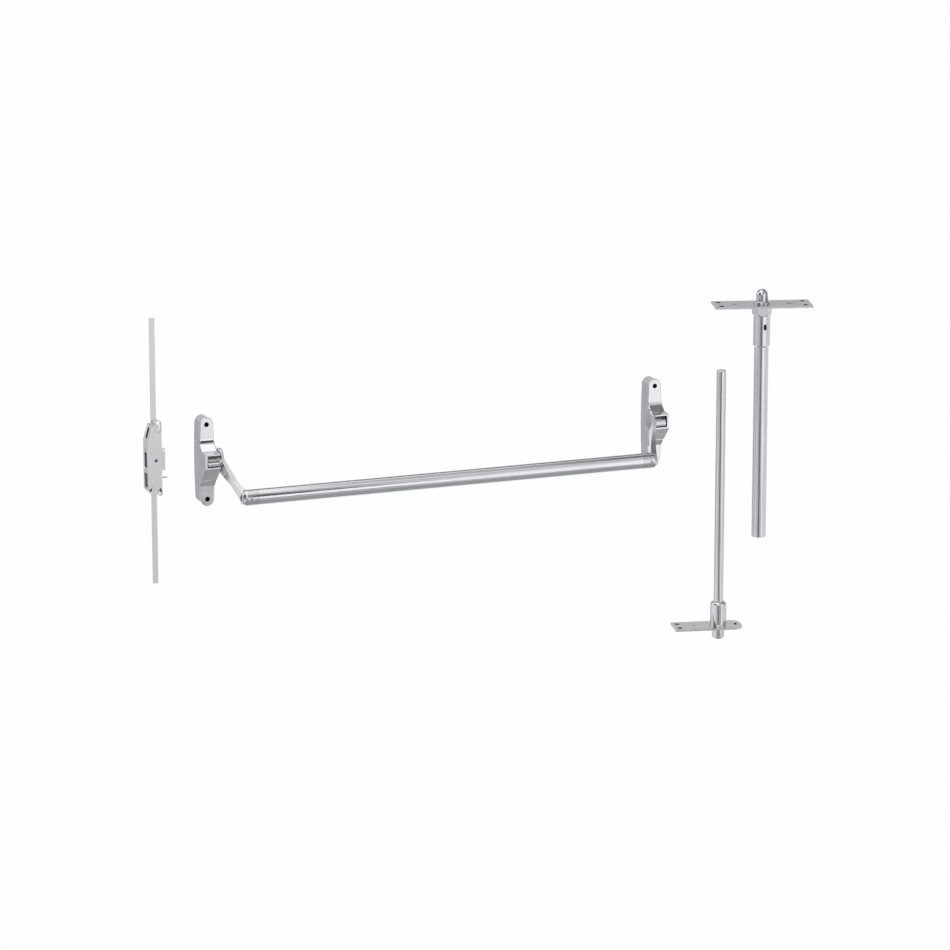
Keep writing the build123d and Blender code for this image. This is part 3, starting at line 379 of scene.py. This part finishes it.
def dress(node, material, width, inside):
    """Makes a node's finished piece, with edges rounded by width and its holes marked."""
    mesh = nodes[node].data.copy()
    mesh.name = node + "_finish"
    work = bmesh.new()
    work.from_mesh(mesh)
    bmesh.ops.remove_doubles(work, verts=work.verts, dist=MERGE_DISTANCE)
    bmesh.ops.dissolve_limit(
        work, angle_limit=math.radians(FLAT_ANGLE), verts=work.verts, edges=work.edges,
        delimit={"NORMAL"})
    work.to_mesh(mesh)
    work.free()
    piece = linked(node + "_finish", mesh)
    mesh.materials.clear()
    mesh.materials.append(material)
    mesh.polygons.foreach_set("use_smooth", [True] * len(mesh.polygons))
    mesh.polygons.foreach_set("material_index", [0] * len(mesh.polygons))
    rounding = piece.modifiers.new("rounding", "BEVEL")
    rounding.width = width
    rounding.segments = ROUNDING_SEGMENTS
    rounding.limit_method = "ANGLE"
    rounding.angle_limit = math.radians(SHARP_ANGLE)
    rounding.use_clamp_overlap = True
    piece.data = evaluated_mesh(piece)
    piece.data.set_sharp_from_angle(angle=math.radians(CREASE_ANGLE))
    evening = piece.modifiers.new("evening", "WEIGHTED_NORMAL")
    evening.mode = "FACE_AREA"
    evening.weight = BROAD_FACE_WEIGHT
    evening.keep_sharp = True
    piece.data = evaluated_mesh(piece)
    if inside:
        mark_bores(piece.data, inside)
    settle(piece, node)


print("dressing helpers ready")

# %% [markdown]
# ## Screw holes
#
# The faces of each hole and its countersink are coloured nearly black, as painted shade in the
# hollows, and are a little duller. The faces of each hole are marked on the mesh, and the finishes
# read that mark.

# %% Say which faces belong to holes
LUG_SCREW_UP = 0.0635
LUG_SINK_RADIUS = 0.0043
PLATE_EDGE = 0.003
TOP_SLEEVE_RADIUS = 0.0135
BOTTOM_SLEEVE_RADIUS = 0.016
FACES_OUT = 0.95    # a face that points out of the casting or plate by more isn't a hole's wall
LEVEL_SLACK = 1e-5
OUTLINE_STEP = 5


def centre_of(node):
    low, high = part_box(node)
    return (low + high) / 2


def lug_holes(across):
    """The two screw holes of the end case that stands at across."""
    def inside(middle, direction):
        away = math.hypot(middle.x - across, abs(middle.z) - LUG_SCREW_UP)
        return away < LUG_SINK_RADIUS and abs(direction.y) < FACES_OUT
    return inside


def plate_holes(node, bolt, sleeve_radius):
    """Every hole of a flat plate, apart from the middle one, where the bolt's sleeve stands."""
    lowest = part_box(node)[0].z
    outline = [v.co for v in nodes[node].data.vertices if v.co.z < lowest + LEVEL_SLACK]
    edges = []
    for degrees in range(0, 360, OUTLINE_STEP):
        way = Vector((math.cos(math.radians(degrees)), math.sin(math.radians(degrees)), 0))
        edges.append((way, max(way.dot(point) for point in outline)))
    centre = centre_of(bolt)

    def inside(middle, direction):
        if abs(direction.z) > FACES_OUT or (middle - centre).xy.length < sleeve_radius:
            return False
        return all(way.dot(middle) < reach - PLATE_EDGE for way, reach in edges)
    return inside


HOLES = {
    "left_end_case": lug_holes(0.0),
    "right_end_case": lug_holes(centre_of("right_end_case").x),
    "top_guide_plate": plate_holes("top_guide_plate", "top_bolt", TOP_SLEEVE_RADIUS),
    "bottom_guide_plate": plate_holes("bottom_guide_plate", "bottom_bolt", BOTTOM_SLEEVE_RADIUS),
}
print("holes of", list(HOLES))

# %% [markdown]
# ## Springs, rivets and screws
#
# A coil spring is one round wire on a helix. A rivet or a pan-head screw is turned: its radius is a
# rule along its axis. Both are easy to grow with Geometry Nodes, so each kind has one tree with named
# sizes, and the pieces differ only in the numbers that they give it. Three of the springs are pressed
# when their joints move: their pressed lengths are printed, and the springs keep their free length.

# %% Grow pieces with Geometry Nodes
NUMBER, COUNT = "NodeSocketFloat", "NodeSocketInt"
AXIS_TURN = {
    "X": Matrix.Rotation(math.radians(90), 4, "Y"),
    "Y": Matrix.Rotation(math.radians(-90), 4, "X"),
    "Z": Matrix.Identity(4),
}


class Plan(Recipe):
    """A Geometry Nodes tree with named sizes."""

    def __init__(self, name, sizes):
        super().__init__(bpy.data.node_groups.new(name, "GeometryNodeTree"))
        face = self.tree.interface
        face.new_socket("Geometry", in_out="INPUT", socket_type="NodeSocketGeometry")
        self.identifiers = {}
        for size, kind in sizes.items():
            socket = face.new_socket(size, in_out="INPUT", socket_type=kind)
            self.identifiers[size] = socket.identifier
        face.new_socket("Geometry", in_out="OUTPUT", socket_type="NodeSocketGeometry")
        self.given = self.tree.nodes.new("NodeGroupInput")

    def size(self, name):
        return Value(self, self.given.outputs[name])

    def finish(self, shape, material):
        """Ends the tree: the shape at each given point, as real faces with their material."""
        sockets = {"Points": self.size("Geometry"), "Instance": shape}
        copies = self.node("GeometryNodeInstanceOnPoints", {}, sockets)
        real = self.node("GeometryNodeRealizeInstances", {}, {"Geometry": copies})
        smooth = self.node("GeometryNodeSetShadeSmooth", {}, {"Geometry": real})
        sockets = {"Geometry": smooth, "Material": material}
        done = self.node("GeometryNodeSetMaterial", {}, sockets)
        end = self.tree.nodes.new("NodeGroupOutput")
        self.tree.links.new(done.socket, end.inputs["Geometry"])


def grow(plan, node, starts, sizes, axis, crease):
    """One mesh from a plan, whose shape rises along axis from each start."""
    turn = AXIS_TURN[axis]
    seeds = bpy.data.meshes.new(node + "_finish")
    seeds.from_pydata([tuple(turn.inverted() @ start) for start in starts], [], [])
    piece = linked(node + "_finish", seeds)
    modifier = piece.modifiers.new("plan", "NODES")
    modifier.node_group = plan.tree
    for size, value in sizes.items():
        modifier[plan.identifiers[size]] = value
    piece.data = evaluated_mesh(piece)
    piece.data.transform(turn)
    piece.data.set_sharp_from_angle(angle=math.radians(crease))
    settle(piece, node)
    return piece


print("growing helpers ready")

# %% Draw the plan of a spring
spring_plan = Plan("wound_spring", {
    "Turns": NUMBER, "Coil Radius": NUMBER, "Wire Radius": NUMBER, "Travel": NUMBER,
    "Steps": COUNT, "Sides": COUNT,
})
radius = spring_plan.size("Coil Radius")
helix = spring_plan.node("GeometryNodeCurveSpiral", {}, {
    "Resolution": spring_plan.size("Steps"), "Rotations": spring_plan.size("Turns"),
    "Start Radius": radius, "End Radius": radius, "Height": spring_plan.size("Travel"),
})
wire = spring_plan.node("GeometryNodeCurvePrimitiveCircle", {"mode": "RADIUS"}, {
    "Resolution": spring_plan.size("Sides"), "Radius": spring_plan.size("Wire Radius"),
})
coil = spring_plan.node("GeometryNodeCurveToMesh", {}, {
    "Curve": helix, "Profile Curve": wire, "Fill Caps": True,
})
spring_plan.finish(coil, WIRE)
print("spring plan", len(spring_plan.tree.nodes), "nodes")

# %% Wind the springs
# name: axis, turns and wire radius
SPRINGS = {
    "hub_return_spring": ("X", 3.0, 0.0006),
    "plunger_spring": ("Y", 5.0, 0.0007),
    "lock_spring": ("Y", 3.0, 0.00045),
    "top_spring": ("Z", 5.0, 0.00085),
    "bottom_spring": ("Z", 4.5, 0.00085),
}
# name: the joint that shortens the spring, by how much, and which corner of its box stays
SHORTENED = {
    "plunger_spring": ("plunger_push", 0.0052, 1),
    "top_spring": ("top_bolt_draw", 0.013, 0),
    "bottom_spring": ("bottom_bolt_draw", 0.011, 1),
}
STEPS_PER_TURN = 32
WIRE_SIDES = 10
WIRE_CREASE = 60.0
# the round wire stays within the box of the solid's, which has four sides
COIL_INSET = 0.9
WIRE_SHARE = 0.95

for name, (axis, turns, wire_radius) in SPRINGS.items():
    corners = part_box(name)
    low, high = corners
    along = "XYZ".index(axis)
    beside = (along + 1) % 3
    length = high[along] - low[along]
    start = (low + high) / 2
    start[along] = low[along] + wire_radius
    coil_piece = grow(spring_plan, name, [start], {
        "Turns": turns,
        "Coil Radius": (high[beside] - low[beside]) / 2 - wire_radius * COIL_INSET,
        "Wire Radius": wire_radius * WIRE_SHARE,
        "Travel": length - 2 * wire_radius,
        "Steps": STEPS_PER_TURN,
        "Sides": WIRE_SIDES,
    }, axis, WIRE_CREASE)
    if name in SHORTENED:
        joint, stroke, still = SHORTENED[name]
        pressed = length - stroke
        direction = tuple(float(index == along) for index in range(3))
        print(name, "free", round(length * 1000, 2), "mm, pressed", round(pressed * 1000, 2), "mm")
        pressed / length
        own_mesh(coil_piece)
print("springs", {name: DRESSED[name] for name in SPRINGS})

# %% Draw the plan of a rivet or screw
HEAD_STATIONS = 60
HEAD_SIDES = 32
DOME_FALL = 0.94
CUTTER_LENGTH = 3    # head radii

head_plan = Plan("turned_head", {
    "Head Radius": NUMBER, "Head Height": NUMBER, "Shank Radius": NUMBER, "Length": NUMBER,
    "Second Head": NUMBER, "Slot Width": NUMBER, "Slot Depth": NUMBER,
})
head_radius = head_plan.size("Head Radius")
head_height = head_plan.size("Head Height")
shank_radius = head_plan.size("Shank Radius")
full_length = head_plan.size("Length")
top_end = head_plan.node("ShaderNodeCombineXYZ", {}, {"Z": full_length})
straight = head_plan.node("GeometryNodeCurvePrimitiveLine", {}, {"End": top_end})
stations = head_plan.node("GeometryNodeResampleCurve", {"mode": "COUNT"}, {
    "Curve": straight, "Count": HEAD_STATIONS,
})
station = head_plan.node("GeometryNodeInputPosition", {}, {})
up = head_plan.node("ShaderNodeSeparateXYZ", {}, {0: station}, "Z")


def dome(distance):
    """Radius of a domed head, where distance is how far a station lies from the head's top."""
    share = 1 - head_plan.node("ShaderNodeClamp", {}, {0: distance / head_height})
    round_top = (1 - DOME_FALL * share * share) ** 0.5
    return shank_radius + distance.below(head_height) * (head_radius * round_top - shank_radius)


front = dome(full_length - up)
both = front.larger(dome(up) * head_plan.size("Second Head"))
ring = head_plan.node("GeometryNodeCurvePrimitiveCircle", {"mode": "RADIUS"}, {
    "Resolution": HEAD_SIDES, "Radius": 1.0,
})
turned = head_plan.node("GeometryNodeCurveToMesh", {}, {
    "Curve": stations, "Profile Curve": ring, "Scale": both, "Fill Caps": True,
})
cutter_size = head_plan.node("ShaderNodeCombineXYZ", {}, {
    "X": head_radius * CUTTER_LENGTH,
    "Y": head_plan.size("Slot Width"),
    "Z": head_plan.size("Slot Depth") * 2,
})
cutter = head_plan.node("GeometryNodeTransform", {}, {
    "Geometry": head_plan.node("GeometryNodeMeshCube", {}, {"Size": cutter_size}),
    "Translation": top_end,
})
slotted = head_plan.node("GeometryNodeMeshBoolean", {"operation": "DIFFERENCE", "solver": "EXACT"}, {
    "Mesh 1": turned, "Mesh 2": cutter,
})
head_plan.finish(slotted, ZINC)
print("head plan", len(head_plan.tree.nodes), "nodes")

# %% Turn the rivets and the cover screws
# name: head height, shank radius, share of a second head, and the slot's width and depth
FASTENERS = {
    "upper_rod_rivets": (0.0010, 0.0016, 1.0, 0.0, 0.0),
    "lower_rod_rivets": (0.0010, 0.0016, 1.0, 0.0, 0.0),
    "cover_screws": (0.0008, 0.00095, 0.0, 0.0006, 0.0005),
}
HEAD_CREASE = 35.0


def loose_boxes(node):
    """The lowest and highest corners of each separate solid in a node."""
    work = bmesh.new()
    work.from_mesh(nodes[node].data)
    bmesh.ops.remove_doubles(work, verts=work.verts, dist=MERGE_DISTANCE)
    waiting = set(work.verts)
    boxes = []
    while waiting:
        group, edge = set(), {waiting.pop()}
        while edge:
            group |= edge
            edge = {e.other_vert(v) for v in edge for e in v.link_edges} - group
        waiting -= group
        boxes.append([
            Vector(pick(v.co[i] for v in group) for i in range(3)) for pick in (min, max)
        ])
    work.free()
    return sorted(boxes, key=lambda corners: tuple(corners[0]))


for name, (height, shank, second, slot_width, slot_depth) in FASTENERS.items():
    boxes = loose_boxes(name)
    starts = [Vector(((l.x + h.x) / 2, l.y, (l.z + h.z) / 2)) for l, h in boxes]
    low, high = boxes[0]
    grow(head_plan, name, starts, {
        "Head Radius": (high.x - low.x) / 2, "Head Height": height, "Shank Radius": shank,
        "Length": high.y - low.y, "Second Head": second,
        "Slot Width": slot_width, "Slot Depth": slot_depth,
    }, "Y", HEAD_CREASE)
print("fasteners", {name: DRESSED[name] for name in FASTENERS})

# %% Dress what is left
FINISH_OF_SLOT = {
    "polished_casting": CASTING,
    "polished_tube": UPRIGHT_TUBE,
    "plated_plate": GROUND,
    "satin_sheet": SATIN,
    "turned_steel": TURNED,
    "zinc_steel": ZINC,
    "bronze": BRONZE,
    "spring_steel": WIRE,
}
FINISH_OF_NODE = {
    "crossbar_tube": BAR_TUBE,
    "left_lever_arm": ARM_CASTING_PAINTED_SHADE,
    "right_lever_arm": ARM_CASTING_PAINTED_SHADE,
}
ROUNDING_OF_SLOT = {
    "polished_casting": 0.0005,
    "plated_plate": 0.0004,
    "satin_sheet": 0.0002,
    "turned_steel": 0.00035,
}
PLAIN_ROUNDING = 0.0003
for name, slot_name in slot_of.items():
    if name not in DRESSED:
        material = FINISH_OF_NODE.get(name, FINISH_OF_SLOT[slot_name])
        dress(name, material, ROUNDING_OF_SLOT.get(slot_name, PLAIN_ROUNDING), HOLES.get(name))
print("dressed", len(DRESSED), "pieces with", sum(DRESSED.values()), "faces")

# %% [markdown]
# ## Floor, backdrop and light
#
# The floor and the world look white to the camera and in reflections, while the light that they
# spread is dimmer, so that the metal keeps its greys. Only reflections show the screens and cards:
# the camera looks through them.

# %% Floor
FLOOR_WIDTH = 90.0
FLOOR_LEVEL = -1.6
FLOOR_PALE = 0.9
FLOOR_WHITE = 0.985


def seen(recipe):
    """1 for rays of the camera, off a mirror or through glass, and 0 for light that spreads."""
    paths = recipe.tree.nodes.new("ShaderNodeLightPath")
    camera_ray = Value(recipe, paths.outputs["Is Camera Ray"])
    mirror_ray = Value(recipe, paths.outputs["Is Glossy Ray"])
    glass_ray = Value(recipe, paths.outputs["Is Transmission Ray"])
    return camera_ray.larger(mirror_ray).larger(glass_ray)


def stage_piece(name, points, faces, material):
    mesh = bpy.data.meshes.new(name)
    mesh.from_pydata(points, [], faces)
    mesh.materials.append(material)
    made = linked(name, mesh)
    return made


def board(name, width, depth, level, material):
    """A rectangle in its own X and Y, at a level in its own Z."""
    w, d = width / 2, depth / 2
    points = [(-w, -d, level), (w, -d, level), (w, d, level), (-w, d, level)]
    return stage_piece(name, points, [(0, 1, 2, 3)], material)


pale_floor = Surface("pale_floor")
pale_floor.shader.inputs["Base Color"].default_value = (FLOOR_PALE, FLOOR_PALE, FLOOR_PALE, 1)
pale_floor.shader.inputs["Roughness"].default_value = 0.9
pale = Value(pale_floor, pale_floor.shader.outputs[0])
white = pale_floor.node("ShaderNodeEmission", {}, {})
pale_floor.show(seen(pale_floor) * FLOOR_WHITE, pale, white)
board("floor", FLOOR_WIDTH, FLOOR_WIDTH, FLOOR_LEVEL, pale_floor.material)
print("floor ready")

# %% [markdown]
# ## What the plating reflects
#
# The belt is therefore cut into screens by direction, read from the stripes of the upright tubes.
# Fronts mirror the right, walls on the left mirror the far left, and slopes mirror the ceiling.

MIDDLE = (0.5, 0.0, -0.05)
SCREEN_RADIUS = 4.0
SCREEN_STEP = 6
LOW = (-1.55, -0.25)
# name, first and last direction in degrees, lowest and highest point, and colour
SCREENS = (
    ("front_left_grey", -44, -22, *LOW, (0.56, 0.56, 0.58)),
    ("front_step", -22, -9, *LOW, (0.34, 0.34, 0.355)),
    ("front_line", -9, 15, *LOW, (0.13, 0.13, 0.14)),
    ("front_rise", 15, 28, *LOW, (0.66, 0.655, 0.67)),
    ("front_white", 28, 40, -0.99, 0.8, (1.15, 1.14, 1.17)),
    ("front_shade", 28, 40, -1.55, -0.99, (0.24, 0.25, 0.265)),
    ("front_right_white", 40, 60, -1.55, 1.1, (1.05, 1.04, 1.07)),
    ("right_lavender", 60, 155, *LOW, (0.72, 0.71, 0.75)),
    ("front_band", 20, 39.5, 0.8, 5.2, (0.03, 0.03, 0.035)),
    ("front_high", 39.5, 75, 1.1, 2.6, (0.86, 0.86, 0.88)),
    ("front_higher", 39.5, 75, 2.6, 5.2, (0.58, 0.58, 0.60)),
    ("right_dusk", 75, 120, -0.25, 5.2, (0.34, 0.34, 0.36)),
    ("front_left_dark", -75, -22, -0.25, 4.0, (0.10, 0.10, 0.11)),
    ("left_step", -57, -44, *LOW, (0.58, 0.58, 0.60)),
    ("left_bright", -78, -57, *LOW, (0.86, 0.86, 0.88)),
    ("left_slate", -120, -78, *LOW, (0.56, 0.575, 0.62)),
    ("left_wall", -155, -120, -1.55, 0.45, (0.46, 0.465, 0.49)),
    ("back_grey", 120, 240, 0.45, 2.6, (0.58, 0.58, 0.60)),
    ("back_dark", 120, 240, 2.6, 5.0, (0.10, 0.10, 0.11)),
)
to_front = Vector((towards_camera.x, towards_camera.y, 0)).normalized()
to_right = Vector((-to_front.y, to_front.x, 0))


def glowing_material(name, colour):
    """A plain glow that reflections show, and that the camera looks through."""
    surface = Surface(name)
    glow = surface.node("ShaderNodeEmission", {}, {"Color": (*colour, 1)})
    clear = surface.node("ShaderNodeBsdfTransparent", {}, {})
    surface.show(surface.node("ShaderNodeLightPath", {}, {}, "Is Camera Ray"), glow, clear)
    return surface.material


def screen(name, start, end, low, high, colour):
    steps = max(2, int((end - start) / SCREEN_STEP))
    points = []
    for step in range(steps + 1):
        turn = math.radians(start + (end - start) * step / steps)
        side = (to_front * math.cos(turn) + to_right * math.sin(turn)) * SCREEN_RADIUS
        points += [(MIDDLE[0] + side.x, MIDDLE[1] + side.y, height) for height in (low, high)]
    faces = [(2 * s, 2 * s + 1, 2 * s + 3, 2 * s + 2) for s in range(steps)]
    stage_piece(name, points, faces, glowing_material(name, colour))


for row in SCREENS:
    screen(*row)
print("screens", len(SCREENS))

CARDS = (
    ("card_under", "under_grey", (0.36, 0.365, 0.38), (0.5, -0.75, -1.5), 4.2, 2.5, 1.0),
    ("card_under_front", "under_front_grey", (0.60, 0.605, 0.62), (0.5, -2.65, -1.5), 4.2, 1.3, 1.0),
    ("card_under_line", "under_dark", (0.12, 0.12, 0.13), (1.2, -3.63, -1.5), 5.0, 0.64, 1.0),
    ("card_ceiling_middle", "ceiling_grey", (0.50, 0.50, 0.52), (1.55, -0.2, 3.05), 0.7, 2.4, 0.0),
    ("card_ceiling_right", "ceiling_dark", (0.18, 0.18, 0.19), (2.7, -0.2, 3.05), 1.6, 2.4, 0.0),
)
for name, glow_name, colour, middle, width, depth, faced_height in CARDS:
    card = board(name, width, depth, 0, glowing_material(glow_name, colour))
    card.location = middle
    facing = Vector((*middle[:2], faced_height)) - Vector(middle)
    card.rotation_euler = facing.to_track_quat("Z", "Y").to_euler()
print("cards", len(CARDS))

LAMP_PLACE = (0.1, -0.2, 3.0)
SPREAD_STRENGTH = 0.55
SEEN_STRENGTH = 1.0

lamp_data = bpy.data.lights.new("overhead", "AREA")
lamp_data.energy = 4.0
lamp_data.shape = "RECTANGLE"
lamp_data.size = 2.2
lamp_data.size_y = 2.4
lamp = linked("overhead", lamp_data)
lamp.location = LAMP_PLACE
lamp.rotation_euler = (Vector(MIDDLE) - Vector(LAMP_PLACE)).to_track_quat("-Z", "Y").to_euler()

world = bpy.data.worlds.new("studio")
bpy.context.scene.world = world
world.use_nodes = True
studio = Recipe(world.node_tree)
sky = studio.tree.nodes["Background"]
strength = studio.node("ShaderNodeMapRange", {}, {
    0: seen(studio), 3: SPREAD_STRENGTH, 4: SEEN_STRENGTH,
})
sky.inputs["Color"].default_value = (1, 1, 1, 1)
studio.tree.links.new(strength.socket, sky.inputs["Strength"])
bpy.context.scene.view_settings.view_transform = "Standard"
print("lights ready")
